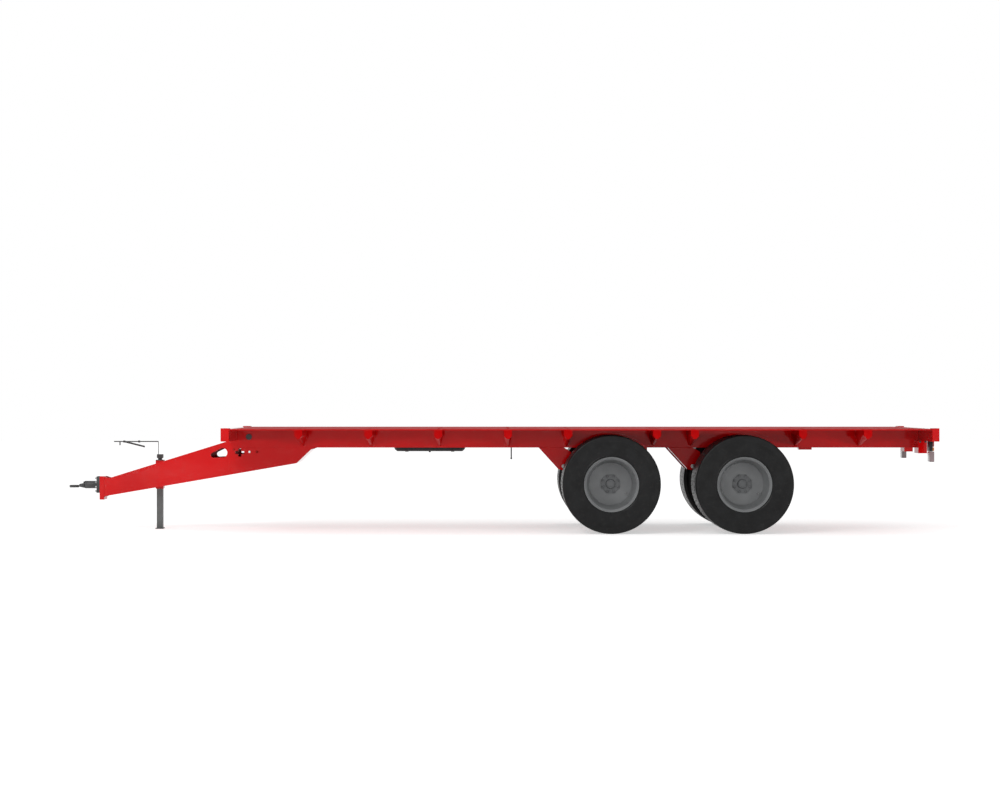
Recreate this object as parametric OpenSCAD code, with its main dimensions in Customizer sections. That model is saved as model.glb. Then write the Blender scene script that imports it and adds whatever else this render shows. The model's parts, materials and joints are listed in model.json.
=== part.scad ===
// Flat-deck hay wagon with a tandem of wide tyres, a cranked drawbar and a parking leg.
// +X runs to the rear, +Z is up, and the origin is on the ground at the centre of the footprint.
// Left is the -Y side. Pieces of both sides are drawn on +Y and mirrored.

/* [Deck] */
// Length over the two end beams
deck_len = 8758; // [7200:1:10600]
// Width over the floor
deck_w = 2550; // [2100:1:3100]
// Thickness of the floor sheets
floor_t = 6; // [4:1:12]
// Width of the flat bar under each long edge
edge_bar_w = 60; // [40:1:90]
// Thickness of the flat bar under each long edge
edge_bar_t = 8; // [6:1:14]

/* [End beams] */
// Front beam, size along the wagon
front_beam_w = 100; // [80:1:140]
// Rear beam, size along the wagon
rear_beam_w = 85; // [80:1:140]
// How far the end beams reach below the floor's top
end_beam_drop = 152; // [120:1:200]
// How far the corner posts stand above the floor's top
corner_rise = 10; // [6:1:60]
// Length of a corner post across the wagon
corner_len = 150; // [140:1:220]
// Stake pocket opening along the wagon
pocket_len = 50; // [40:1:60]
// Stake pocket opening across the wagon
pocket_w = 80; // [50:1:100]
// Stake pocket centre to the deck's long edge
pocket_inset = 75; // [65:1:80]

/* [Main beams] */
// Depth of the two channel beams
beam_h = 238; // [190:1:300]
// Web thickness
web_t = 8; // [6:1:14]
// Flange width, towards the middle
flange_w = 110; // [105:1:130]
// Flange thickness
flange_t = 12; // [8:1:18]
// Gap between a tyre's inner side and a web's outer face
beam_room = 200; // [110:1:260]
// Depth of the cross members
cross_h = 80; // [60:1:120]
// Width of the cross members
cross_w = 60; // [40:1:100]
// Radius of the cross pipe near the front
pipe_r = 38; // [25:1:50]
// Cross pipe centre to the deck's front
pipe_setback = 242; // [180:1:400]
// Cross pipe centre below the floor's top
pipe_drop = 109; // [80:1:150]

/* [Outriggers] */
// Width at the top
rigger_w = 100; // [70:1:120]
// Width of the folded bottom strip
rigger_strip = 26; // [16:1:60]
// Depth of the straight sides below the top
rigger_shoulder = 80; // [50:1:90]
// Depth at the outer end
rigger_tip_h = 118; // [100:1:140]
// Depth at the web
rigger_root_h = 216; // [170:1:230]
// Outer end to the deck's long edge
rigger_inset = 205; // [120:1:300]
// Length of the level outer stretch
rigger_level = 140; // [60:1:240]
// First outrigger's centre to the deck's front
rigger_first = 926; // [500:1:1200]
// Distance from one to the next ahead of the wheels
rigger_pitch = 859; // [600:1:1100]
// Last outrigger's centre to the deck's rear
rigger_last = 835; // [500:1:1200]

/* [Wheels] */
// Tyre radius
tyre_r = 605; // [500:1:730]
// Tyre width
tyre_w = 700; // [540:1:840]
// Shoulder radius of the tyre
shoulder_r = 25; // [10:1:60]
// Bead seat radius of the rim
seat_r = 318; // [270:1:350]
// Flange radius of the rim
rim_r = 337; // [290:1:380]
// Rim width between its flanges
rim_w = 600; // [460:1:660]
// Tyre's outer side to the deck's long edge
tyre_inset = 25; // [0:1:80]
// Gap between the two tyres of one side
tyre_gap = 416; // [200:1:700]
// Tyre's top to the underside of the deck's edge bar
wheel_room = 60; // [40:1:160]
// Rear axle to the deck's rear
rear_overhang = 2365; // [1800:1:2900]
// Radius of the stub axle
stub_r = 45; // [35:1:60]
// Radial clearance of the hub on the stub axle
hub_fit = 0.05; // [0.02:0.01:0.1]
// Radius of the brake drum
drum_r = 205; // [180:1:240]
// Side of the square axle beam
axle_side = 120; // [90:1:150]

/* [Springs] */
// Spring eye ahead of its axle
spring_front = 560; // [450:1:600]
// Slipper pad behind its axle
spring_rear = 430; // [350:1:440]
// Width of the leaf pack
leaf_w = 80; // [60:1:84]
// Thickness of the leaf pack
leaf_pack = 70; // [40:1:90]
// Radius of the pack's middle line
leaf_bend = 1800; // [1400:1:2600]
// Height of the seat between axle and pack
seat_h = 16; // [10:1:40]
// Thickness of the hanger and slipper plates
hanger_t = 10; // [8:1:14]

/* [Drawbar] */
// Front beam to the nose plate
drawbar_len = 1622; // [1300:1:2100]
// Half width over the side plates at the nose
nose_half = 110; // [90:1:160]
// Thickness of the side, top and bottom plates
drawbar_t = 10; // [8:1:14]
// Drawbar's top at the nose
nose_top_z = 647; // [600:1:680]
// Drawbar's bottom at the nose
nose_bottom_z = 421; // [380:1:450]
// Bottom of the tail where it turns up to the beams
tail_z = 843; // [780:1:900]
// Front of the deck to the point where the tail turns up
tail_turn = 843; // [600:1:1000]
// Front of the deck to the tail's rear end
tail_end = 1084; // [900:1:1300]
// Thickness of the nose plate
nose_t = 58; // [25:1:70]
// Bottom of the nose plate
nose_plate_z0 = 374; // [340:1:400]
// Top of the nose plate
nose_plate_z1 = 670; // [640:1:720]
// Radius of the bolt holes in the tail
bolt_r = 14; // [8:1:16]
// Distance between the two tail bolt holes
bolt_gap = 96; // [60:1:120]

/* [Tow eye] */
// Height of the swivel axis
swivel_z = 561; // [540:1:580]
// Thickness of the bolted flange
eye_flange_t = 45; // [20:1:55]
// Flange to the ring's centre
eye_reach = 297; // [260:1:340]
// Outer radius of the ring
ring_r = 60; // [50:1:75]
// Hole radius of the ring
ring_hole_r = 25; // [20:1:33]
// Thickness of the ring
ring_t = 30; // [24:1:40]
// Ring's middle below the swivel axis
ring_drop = 20; // [0:1:24]
// Outer radius of the swivel housing
housing_r = 48; // [44:1:60]
// Length of the swivel housing
housing_len = 157; // [120:1:180]
// Radius of the shank in the housing
shank_r = 30; // [24:1:36]
// Radial clearance of the shank
shank_fit = 0.05; // [0.02:0.01:0.1]

/* [Parking leg] */
// Front of the deck to the leg's centre
leg_setback = 928; // [700:1:1100]
// Side of the square inner leg
leg_side = 76; // [60:1:80]
// Gap between leg and sleeve on each side
leg_gap = 2; // [1:0.5:4]
// Wall of the leg and of its sleeve
leg_wall = 10; // [6:1:12]
// Bottom of the sleeve
sleeve_z0 = 511; // [460:1:530]
// Top of the sleeve
sleeve_z1 = 869; // [860:1:900]
// Top of the inner leg as parked
leg_top = 560; // [545:1:600]
// Length of the foot along the wagon
foot_len = 94; // [80:1:200]
// Width of the foot across the wagon
foot_w = 180; // [80:1:260]
// Thickness of the foot
foot_t = 12; // [8:1:20]

/* [Air tank] */
// Radius
tank_r = 100; // [80:1:110]
// Length
tank_len = 923; // [600:1:1000]
// Front of the deck to the tank's front
tank_setback = 2048; // [1950:1:2600]

/* [Rear lamps] */
// Lamp depth along the wagon
lamp_d = 62; // [40:1:80]
// Lamp width
lamp_w = 150; // [100:1:200]
// Lamp height
lamp_h = 258; // [160:1:300]

/* [Hidden] */
// fine circles for the large round pieces, coarse ones for rods
$fn = 72;
rod_fn = 24;

// lengths that follow from the ones above
overall_len = deck_len + drawbar_len + nose_t + eye_flange_t + eye_reach + ring_r;
rear_x = overall_len / 2;
front_x = rear_x - deck_len;
nose_x = front_x - drawbar_len;
flange_x = nose_x - nose_t;
housing_x = flange_x - eye_flange_t;
ring_x = housing_x - eye_reach;
mouth_x = housing_x - housing_len;
shank_end_x = housing_x - 19;

// heights
deck_z = 2 * tyre_r + wheel_room + edge_bar_t + floor_t;
beam_top = deck_z - floor_t;
beam_bottom = beam_top - beam_h;
end_beam_z0 = deck_z - end_beam_drop;
cross_top = beam_top - flange_t;
cross_bottom = cross_top - cross_h;

// places across the wagon
half_w = deck_w / 2;
wheel_y = half_w - tyre_inset - tyre_w / 2;
beam_y = wheel_y - tyre_w / 2 - beam_room;
web_in = beam_y - web_t;
spring_y = beam_y - hanger_t - 5 - leaf_w / 2;
hanger_in = beam_y - 2 * hanger_t - 10 - leaf_w;
pocket_y = half_w - pocket_inset;

// places along the wagon
beam_x0 = front_x + front_beam_w;
beam_x1 = rear_x - rear_beam_w;
axle_gap = 2 * tyre_r + tyre_gap;
axle_x = [rear_x - rear_overhang - axle_gap, rear_x - rear_overhang];
leg_x = front_x - leg_setback;
pipe_x = front_x + pipe_setback;
pipe_z = deck_z - pipe_drop;
tank_x = front_x + tank_setback;
tank_z = cross_bottom - tank_r - 1;

// outriggers beside the wheels: [axle number, distance behind that axle]
wheel_riggers = [[0, -523], [0, 566], [1, -593], [1, 733]];
// the row ahead of the wheels stops at least this far before the first of those
rigger_gap = 200;
front_row = axle_x[0] + wheel_riggers[0][1] - rigger_gap - front_x - rigger_first;
front_riggers = floor(front_row / rigger_pitch);
rigger_x = concat(
    [for (i = [0:front_riggers]) front_x + rigger_first + i * rigger_pitch],
    [for (r = wheel_riggers) axle_x[r[0]] + r[1]],
    [rear_x - rigger_last]
);

// jack on the sleeve: bottom and top of its gear case above the sleeve
jack_case_z = 31;
jack_h = 79;

// spring pack, measured from the axle
pack_z = tyre_r + axle_side / 2 + seat_h;
pack_mid = pack_z + leaf_pack / 2;
function leaf_rise(dx) = leaf_bend - sqrt(leaf_bend * leaf_bend - dx * dx);
function inner_rise(dx) = leaf_bend - leaf_pack / 2 - sqrt(pow(leaf_bend - leaf_pack / 2, 2) - dx * dx);
// how far the top leaf reaches past the middle of its slipper
leaf_tail = 20;
eye_z = pack_mid + leaf_rise(spring_front);
eye_r = 26;
clamp_len = 190;
clamp_t = 15;
clamp_rod_r = 9;

// hanger outline: [distance behind the axle, height above the beam's bottom edge]
hanger_outline = [[-876, 0], [-560, 0], [-470, -55], [-470, -140], [-573, -285], [-630, -270]];
slipper_len = 120;
slipper_bottom = pack_z + leaf_rise(spring_rear) - 20;

// wheel, measured outward from its middle plane
flange_rise = 14;
dish_y = 20;
dish_r = 261;
disc_t = 14;
hub_r = 110;
drum_y0 = -240;
drum_y1 = -55;
backplate_y = -262;
backplate_t = 12;
axle_half = wheel_y - 300;

// drawbar outline in the side view: length and height of the flare of its top and bottom edges at the nose,
// and of the step where its tail meets the beams
top_flare = [60, 20];
bottom_flare = [30, 16];
tail_step = [60, 24];
top_slope = (end_beam_z0 - 4 - nose_top_z) / (drawbar_len - top_flare[0]);
function top_z(x) = nose_top_z + top_slope * (x - nose_x - top_flare[0]);
tail_x = front_x + tail_turn;
tail_end_x = front_x + tail_end;
drawbar_outline = [
    [nose_x, nose_top_z + top_flare[1]], [nose_x + top_flare[0], nose_top_z], [front_x, top_z(front_x)],
    [front_x, end_beam_z0], [beam_x0, end_beam_z0], [beam_x0, beam_bottom],
    [tail_end_x, beam_bottom], [tail_end_x - tail_step[0], beam_bottom - tail_step[1]],
    [tail_x, tail_z], [nose_x + bottom_flare[0], nose_bottom_z], [nose_x, nose_bottom_z - bottom_flare[1]]
];
// how far the nose plate stands out at the sides
nose_lip = 4;

// holes in the drawbar's sides: two bolts, a cross with a small hole ahead of it, and a pear-shaped slot
bolt_z = beam_bottom - 55;
bolt_x = front_x + 250;
cross_hole = [front_x + 127, bolt_z - 8];
cross_arms = [[112, 36], [36, 100]];
small_hole = [front_x + 54, bolt_z + 30];
small_hole_r = 9;
pear_x = front_x - 88;
pear_drop = 126;
pear_r = [58, 33];
pear_step = [-120, -31];

paint = "firebrick";
steel = "dimgray";

// ---- helpers ----

// an outline in the X-Z plane, drawn from y0 to y1
module side_prism(outline, y0, y1) {
    translate([0, y1, 0]) rotate([90, 0, 0]) linear_extrude(y1 - y0) polygon(outline);
}

// draws on +Y, or mirrored for the left side
module on_side(side) {
    if (side == "left") mirror([0, 1, 0]) children();
    else children();
}

module both_sides() {
    on_side("right") children();
    on_side("left") children();
}

// a round bar along Y
module bar_y(x, z, r, y0, y1, fn = rod_fn) {
    translate([x, y0, z]) rotate([-90, 0, 0]) cylinder(r = r, h = y1 - y0, $fn = fn);
}

// a round bar along X
module bar_x(x0, x1, z, r, fn = rod_fn) {
    translate([x0, 0, z]) rotate([0, 90, 0]) cylinder(r = r, h = x1 - x0, $fn = fn);
}

// ---- frame ----

module main_beam(side) {
    // channel with its open side towards the middle
    section = [
        [beam_y, beam_bottom], [beam_y, beam_top], [beam_y - flange_w, beam_top],
        [beam_y - flange_w, beam_top - flange_t], [web_in, beam_top - flange_t],
        [web_in, beam_bottom + flange_t], [beam_y - flange_w, beam_bottom + flange_t],
        [beam_y - flange_w, beam_bottom]
    ];
    color(paint) on_side(side) difference() {
        translate([beam_x0, 0, 0]) rotate([90, 0, 90]) linear_extrude(beam_x1 - beam_x0) polygon(section);
        bar_y(pipe_x, pipe_z, pipe_r, web_in - 1, beam_y + 1, 72);
    }
}

module cross_pipe() {
    color(steel) bar_y(pipe_x, pipe_z, pipe_r, -beam_y - 8, beam_y + 8, 72);
}

module end_beam(x0, w) {
    post_h = end_beam_drop + corner_rise;
    color(paint) difference() {
        union() {
            translate([x0, -half_w, end_beam_z0]) cube([w, deck_w, end_beam_drop]);
            both_sides() translate([x0, half_w - corner_len, end_beam_z0]) cube([w, corner_len, post_h]);
        }
        both_sides() translate([x0 + (w - pocket_len) / 2, pocket_y - pocket_w / 2, end_beam_z0 - 1])
            cube([pocket_len, pocket_w, post_h + 2]);
    }
}

module front_beam() { end_beam(front_x, front_beam_w); }
module rear_beam() { end_beam(beam_x1, rear_beam_w); }

module cross_members() {
    color(paint) for (x = rigger_x)
        translate([x - cross_w / 2, -web_in, cross_bottom]) cube([cross_w, 2 * web_in, cross_h]);
}

// one folded outrigger: three sections [y, depth], from its outer end to the web
module outrigger(x) {
    tip_y = half_w - rigger_inset;
    stations = [[tip_y, rigger_tip_h], [tip_y - rigger_level, rigger_tip_h], [beam_y, rigger_root_h]];
    ring = [[-1, 0], [1, 0], [1, 1], [1, 2], [-1, 2], [-1, 1]];
    points = [for (s = stations) for (p = ring) [
        x + p[0] * (p[1] == 2 ? rigger_strip : rigger_w) / 2,
        s[0],
        beam_top - (p[1] == 0 ? 0 : p[1] == 1 ? rigger_shoulder : s[1])
    ]];
    n = len(ring);
    last = (len(stations) - 1) * n;
    polyhedron(points, concat(
        [[for (i = [n - 1:-1:0]) i]],
        [for (s = [0:len(stations) - 2]) for (i = [0:n - 1])
            each [[s * n + i, s * n + (i + 1) % n, (s + 1) * n + i],
                [s * n + (i + 1) % n, (s + 1) * n + (i + 1) % n, (s + 1) * n + i]]],
        [[for (i = [0:n - 1]) last + i]]
    ));
}

module outriggers(side) {
    color(paint) on_side(side) for (x = rigger_x) outrigger(x);
}

module floor_sheet(i) {
    len_each = (beam_x1 - beam_x0) / 4;
    color(paint) translate([beam_x0 + i * len_each, -half_w, beam_top]) cube([len_each, deck_w, floor_t]);
}

module edge_bar(side) {
    color(paint) on_side(side) translate([beam_x0, half_w - edge_bar_w, beam_top - edge_bar_t])
        cube([beam_x1 - beam_x0, edge_bar_w, edge_bar_t]);
}

// ---- drawbar ----

// the strip of the plan view between two offsets inside the right side plate's outer face
module plan_strip(from, to) {
    linear_extrude(2 * deck_z) polygon([
        [nose_x, nose_half - from], [front_x, beam_y - from], [tail_end_x, beam_y - from],
        [tail_end_x, beam_y - to], [front_x, beam_y - to], [nose_x, nose_half - to]
    ]);
}

module pear_hole() {
    z = top_z(pear_x) - pear_drop;
    far = norm(pear_step);
    lean = acos((pear_r[0] - pear_r[1]) / far);
    turn = atan2(pear_step[1], pear_step[0]);
    translate([pear_x, beam_y + 1, z]) rotate([90, 0, 0]) linear_extrude(beam_y) rotate(turn) {
        circle(r = pear_r[0]);
        translate([far, 0]) circle(r = pear_r[1]);
        polygon([
            pear_r[0] * [cos(lean), sin(lean)], [far, 0] + pear_r[1] * [cos(lean), sin(lean)],
            [far, 0] + pear_r[1] * [cos(lean), -sin(lean)], pear_r[0] * [cos(lean), -sin(lean)]
        ]);
    }
}

module drawbar_side(side) {
    color(paint) on_side(side) difference() {
        intersection() {
            plan_strip(0, drawbar_t);
            side_prism(drawbar_outline, 0, deck_w);
        }
        pear_hole();
        bar_y(small_hole[0], small_hole[1], small_hole_r, 0, deck_w);
        for (x = [bolt_x, bolt_x + bolt_gap]) bar_y(x, bolt_z, bolt_r, 0, deck_w, 48);
        for (arm = cross_arms)
            translate([cross_hole[0] - arm[0] / 2, 0, cross_hole[1] - arm[1] / 2])
                cube([arm[0], deck_w, arm[1]]);
    }
}

module between_sides(outline) {
    right = [[nose_x, nose_half - drawbar_t], [front_x, beam_y - drawbar_t], [tail_end_x, beam_y - drawbar_t]];
    left = [for (i = [len(right) - 1:-1:0]) [right[i][0], -right[i][1]]];
    intersection() {
        linear_extrude(2 * deck_z) polygon(concat(right, left));
        side_prism(outline, -deck_w, deck_w);
    }
}

module drawbar_plates() {
    sleeve = leg_side + 2 * (leg_gap + leg_wall);
    top_x = nose_x + top_flare[0];
    bottom_x = nose_x + bottom_flare[0];
    step = [tail_end_x - tail_step[0], beam_bottom - tail_step[1]];
    color(paint) difference() {
        union() {
            between_sides([[top_x, nose_top_z], [front_x, top_z(front_x)],
                [front_x, top_z(front_x) - drawbar_t], [top_x, nose_top_z - drawbar_t]]);
            between_sides([[bottom_x, nose_bottom_z], [tail_x, tail_z],
                [tail_x, tail_z + drawbar_t], [bottom_x, nose_bottom_z + drawbar_t]]);
            between_sides([[tail_x, tail_z], step, step - [drawbar_t + 2, 0],
                [tail_x - 4, tail_z + drawbar_t], [tail_x - 4, tail_z]]);
        }
        translate([leg_x - sleeve / 2, -sleeve / 2, 0]) cube([sleeve, sleeve, 2 * deck_z]);
    }
}

module nose_plate() {
    half = nose_half + nose_lip;
    color(paint) translate([flange_x, -half, nose_plate_z0])
        cube([nose_t, 2 * half, nose_plate_z1 - nose_plate_z0]);
}

// ---- tow eye ----

module tow_flange() {
    flange_w = 160;
    flange_low = 102;
    flange_high = 106;
    color(steel) difference() {
        union() {
            translate([housing_x, -flange_w / 2, swivel_z - flange_low])
                cube([eye_flange_t, flange_w, flange_low + flange_high]);
            bar_x(mouth_x, housing_x, swivel_z, housing_r, 72);
        }
        bar_x(mouth_x - 1, shank_end_x + 5, swivel_z, shank_r + shank_fit, 72);
    }
}

module tow_eye() {
    collar_r = 42;
    collar_x = mouth_x - 6;
    collar_t = 14;
    neck_len = 55;
    color(steel) difference() {
        union() {
            bar_x(collar_x, shank_end_x, swivel_z, shank_r, 72);
            bar_x(collar_x - collar_t, collar_x, swivel_z, collar_r, 72);
            translate([collar_x - collar_t, 0, swivel_z - ring_drop / 2]) rotate([0, -90, 0])
                cylinder(r1 = shank_r, r2 = ring_t / 2 + 3, h = neck_len);
            translate([ring_x, 0, swivel_z - ring_drop - ring_t / 2]) cylinder(r = ring_r, h = ring_t);
        }
        translate([ring_x, 0, 0]) cylinder(r = ring_hole_r, h = deck_z);
    }
}

// ---- parking leg ----

module leg_sleeve() {
    outer = leg_side + 2 * (leg_gap + leg_wall);
    inner = leg_side + 2 * leg_gap;
    color(paint) translate([leg_x, 0, sleeve_z0]) difference() {
        translate([-outer / 2, -outer / 2, 0]) cube([outer, outer, sleeve_z1 - sleeve_z0]);
        translate([-inner / 2, -inner / 2, -1]) cube([inner, inner, sleeve_z1 - sleeve_z0 + 2]);
    }
}

// three square blocks on the sleeve: cover, neck and gear case
module jack_head() {
    blocks = [[100, 0, 8], [48, 8, jack_case_z], [74, jack_case_z, jack_h]];
    color(steel) translate([leg_x, 0, sleeve_z1]) for (b = blocks)
        translate([-b[0] / 2, -b[0] / 2, b[1]]) cube([b[0], b[0], b[2] - b[1]]);
}

module leg_tube() {
    color(steel) translate([leg_x, 0, foot_t]) difference() {
        translate([-leg_side / 2, -leg_side / 2, 0]) cube([leg_side, leg_side, leg_top - foot_t]);
        translate([leg_wall - leg_side / 2, leg_wall - leg_side / 2, leg_wall])
            cube([leg_side - 2 * leg_wall, leg_side - 2 * leg_wall, leg_top]);
    }
}

module leg_foot() {
    color(steel) translate([leg_x - foot_len / 2, -foot_w / 2, 0]) cube([foot_len, foot_w, foot_t]);
}

// thin mast on the jack with an arm that carries the hoses, and its catch
module hose_holder() {
    mast_x = leg_x - 22;
    arm_z = sleeve_z1 + 241;
    arm_len = 566;
    color(steel) {
        translate([mast_x, 0, sleeve_z1 + jack_h])
            cylinder(r = 4, h = arm_z - sleeve_z1 - jack_h, $fn = rod_fn);
        bar_x(mast_x - arm_len, mast_x, arm_z, 7);
        // joints on the arm, then the catch that hangs from it, and a short hook
        for (reach = [245, 435]) bar_x(mast_x - reach - 12, mast_x - reach + 12, arm_z, 14);
        translate([mast_x - 420, 0, arm_z - 4]) rotate([0, 104, 0]) cylinder(r = 11, h = 255, $fn = rod_fn);
        translate([mast_x - 490, 0, arm_z - 48]) cylinder(r = 8, h = 48, $fn = rod_fn);
    }
}

// ---- air brakes ----

module air_tank() {
    cap = 45;
    color("black") {
        bar_x(tank_x + cap, tank_x + tank_len - cap, tank_z, tank_r, 72);
        for (end = [[tank_x + cap, 180], [tank_x + tank_len - cap, 0]])
            translate([end[0], 0, tank_z]) rotate([0, 90 + end[1], 0])
                cylinder(r1 = tank_r, r2 = tank_r - 24, h = cap);
        translate([tank_x + tank_len / 2, 0, tank_z - tank_r - 14]) cylinder(r = 14, h = 30, $fn = rod_fn);
    }
}

module tank_straps() {
    color(steel) for (x = [tank_x + 150, tank_x + tank_len - 190]) {
        translate([x, -web_in, cross_bottom - 8]) difference() {
            cube([40, 2 * web_in, 8]);
            translate([-1, web_in, -tank_r + 7]) rotate([0, 90, 0]) cylinder(r = tank_r + 0.5, h = 42);
        }
        difference() {
            bar_x(x, x + 40, tank_z, tank_r + 6, 72);
            bar_x(x - 1, x + 41, tank_z, tank_r, 72);
            translate([x - 1, -half_w, cross_bottom - 8]) cube([42, deck_w, 200]);
        }
    }
}

module brake_valve() {
    x = rigger_x[front_riggers];
    body = [120, 90, 90];
    lever = [x + 45, 0, cross_bottom - 290];
    color("black") {
        translate([x - body[0] / 2, -body[1] / 2, cross_bottom - body[2]]) cube(body);
        translate(lever) cylinder(r = 8, h = cross_bottom - body[2] / 2 - lever[2], $fn = rod_fn);
        translate(lever) sphere(r = 12);
    }
}

// ---- running gear ----

module hangers(side) {
    color(paint) on_side(side) for (ax = axle_x) {
        outline = [for (p = hanger_outline) [ax + p[0], beam_bottom + p[1]]];
        for (y = [beam_y - hanger_t, hanger_in]) side_prism(outline, y, y + hanger_t);
        // sloping plate that joins the two
        side_prism([outline[0], outline[0] + [14, 0], outline[5] + [14, 5], outline[5]],
            hanger_in, beam_y);
        bar_y(ax - spring_front, eye_z, eye_r - 8, hanger_in, beam_y);
    }
}

module slippers(side) {
    x0 = spring_rear - slipper_len / 2;
    pad_z = pack_z + leaf_pack + inner_rise(spring_rear + leaf_tail) + 0.5;
    color(paint) on_side(side) for (ax = axle_x) {
        for (y = [beam_y - hanger_t, hanger_in])
            translate([ax + x0, y, slipper_bottom])
                cube([slipper_len, hanger_t, beam_bottom - slipper_bottom]);
        translate([ax + x0, hanger_in, pad_z]) cube([slipper_len, beam_y - hanger_in, 30]);
    }
}

// leaf pack: a curved bar cut from a ring, with a shorter second bar below it
module leaf_springs(side) {
    y0 = spring_y - leaf_w / 2;
    top_leaf = 26;
    color(steel) on_side(side) for (ax = axle_x) {
        difference() {
            intersection() {
                union() {
                    leaf_bar(ax, y0, leaf_pack - top_leaf, leaf_pack, -spring_front, spring_rear + leaf_tail);
                    leaf_bar(ax, y0, (leaf_pack - top_leaf) / 2, leaf_pack - top_leaf, -430, 330);
                    leaf_bar(ax, y0, 0, (leaf_pack - top_leaf) / 2, -300, 240);
                    bar_y(ax - spring_front, eye_z, eye_r, y0, y0 + leaf_w, 48);
                }
                translate([ax - 2 * leaf_bend, y0, 0]) cube([4 * leaf_bend, leaf_w, deck_z]);
            }
            bar_y(ax - spring_front, eye_z, eye_r - 8, y0 - 1, y0 + leaf_w + 1, rod_fn);
        }
    }
}

// the band of the pack between two heights above its bottom, from x0 to x1 behind the axle
module leaf_bar(ax, y0, low, high, x0, x1) {
    z_centre = pack_z + leaf_pack / 2 + leaf_bend;
    intersection() {
        difference() {
            bar_y(ax, z_centre, leaf_bend + leaf_pack / 2 - low, y0, y0 + leaf_w, 180);
            bar_y(ax, z_centre, leaf_bend + leaf_pack / 2 - high, y0 - 1, y0 + leaf_w + 1, 180);
        }
        translate([ax + x0, y0 - 1, 0]) cube([x1 - x0, leaf_w + 2, deck_z]);
    }
}

module spring_clamps() {
    top = pack_z + leaf_pack + 4;
    low = tyre_r - axle_side / 2;
    color(steel) both_sides() for (ax = axle_x) {
        for (z = [top, low - clamp_t])
            translate([ax - clamp_len / 2, spring_y - leaf_w / 2 - 22, z])
                cube([clamp_len, leaf_w + 44, clamp_t]);
        for (dx = [-1, 1]) for (dy = [-1, 1])
            translate([ax + dx * (axle_side / 2 + clamp_rod_r + 4),
                    spring_y + dy * (leaf_w / 2 + clamp_rod_r + 2), low - clamp_t - 18])
                cylinder(r = clamp_rod_r, h = top - low + 2 * clamp_t + 33, $fn = rod_fn);
    }
}

module axle(ax) {
    color(steel) {
        translate([ax - axle_side / 2, -axle_half, tyre_r - axle_side / 2])
            cube([axle_side, 2 * axle_half, axle_side]);
        both_sides() {
            bar_y(ax, tyre_r, 70, axle_half - 1, wheel_y + backplate_y, 72);
            bar_y(ax, tyre_r, drum_r + 8, wheel_y + backplate_y, wheel_y + backplate_y + backplate_t, 72);
            bar_y(ax, tyre_r, stub_r, wheel_y + backplate_y, wheel_y + drum_y1 - 10, 72);
            translate([ax - 70, spring_y - leaf_w / 2, tyre_r + axle_side / 2]) cube([140, leaf_w, seat_h]);
        }
    }
}

module brake_chambers() {
    chamber_r = 75;
    y = hanger_in - chamber_r - 15;
    color("black") both_sides() for (ax = axle_x) {
        translate([ax + axle_side / 2, y - 50, tyre_r - 60]) cube([16, 100, 120]);
        translate([ax + axle_side / 2 + 16, y, tyre_r]) rotate([0, 90, 0]) cylinder(r = chamber_r, h = 60);
        translate([ax + axle_side / 2 + 76, y, tyre_r]) rotate([0, 90, 0]) cylinder(r = chamber_r + 9, h = 14);
        translate([ax + axle_side / 2 + 90, y, tyre_r]) rotate([0, 90, 0])
            cylinder(r1 = chamber_r, r2 = chamber_r - 22, h = 55);
    }
}

// ---- wheels ----

// turns a section [radius, outward] about the wheel's axle on the right-hand side
module wheel_turned() {
    rotate([-90, 0, 0]) rotate_extrude() children();
}

module at_wheel(i, side) {
    on_side(side) translate([axle_x[i], wheel_y, tyre_r]) children();
}

module tyre(i, side) {
    half = tyre_w / 2;
    color("black") at_wheel(i, side) wheel_turned() {
        translate([seat_r, -rim_w / 2 + 4]) square([rim_r + 3 - seat_r, rim_w - 8]);
        translate([rim_r + 3, -half]) square([tyre_r - shoulder_r - rim_r - 3, tyre_w]);
        translate([rim_r + 3, shoulder_r - half]) square([tyre_r - rim_r - 3, tyre_w - 2 * shoulder_r]);
        for (y = [shoulder_r - half, half - shoulder_r])
            translate([tyre_r - shoulder_r, y]) circle(r = shoulder_r);
    }
}

module rim(i, side) {
    edge = rim_w / 2;
    well = seat_r - 12;
    color("gray") at_wheel(i, side) wheel_turned() polygon([
        [seat_r, 4 - edge], [seat_r, edge - 4], [rim_r, edge + 2], [rim_r, edge + flange_rise],
        [rim_r - 9, edge + flange_rise], [well, edge - 10], [dish_r + 8, dish_y + 34], [dish_r, dish_y],
        [hub_r, dish_y], [hub_r, dish_y - disc_t], [dish_r + 4, dish_y - disc_t],
        [well, dish_y - 60], [well, 4 - edge],
        [rim_r - 9, -edge - flange_rise], [rim_r, -edge - flange_rise], [rim_r, -edge - 2]
    ]);
}

module hub(i, side) {
    color(steel) at_wheel(i, side) rotate([-90, 0, 0]) difference() {
        union() {
            translate([0, 0, drum_y0]) cylinder(r = drum_r, h = drum_y1 - drum_y0);
            translate([0, 0, drum_y1 - 1]) cylinder(r = hub_r, h = dish_y - drum_y1 + 1);
            translate([0, 0, dish_y]) rotate(22.5) cylinder(r = hub_r + 14, h = 12, $fn = 8);
            translate([0, 0, dish_y + 11]) cylinder(r1 = 60, r2 = 54, h = 18);
        }
        translate([0, 0, drum_y0 - 1]) cylinder(r = stub_r + hub_fit, h = drum_y1 - drum_y0 - 3);
    }
}

// ---- rear ----

module rear_brackets() {
    // boxes below the rear beam, outside the main beams
    side_box = [110, 265, 158];
    color(paint) both_sides() translate([rear_x - 26 - side_box[0], beam_y, end_beam_z0 - side_box[2]])
        cube(side_box);
    // box under the floor behind the rear axle, on the middle line
    middle_box = [166, 120, beam_h + 33];
    color(paint) translate([axle_x[1] + 811, -middle_box[1] / 2, beam_top - middle_box[2]]) cube(middle_box);
}

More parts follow.
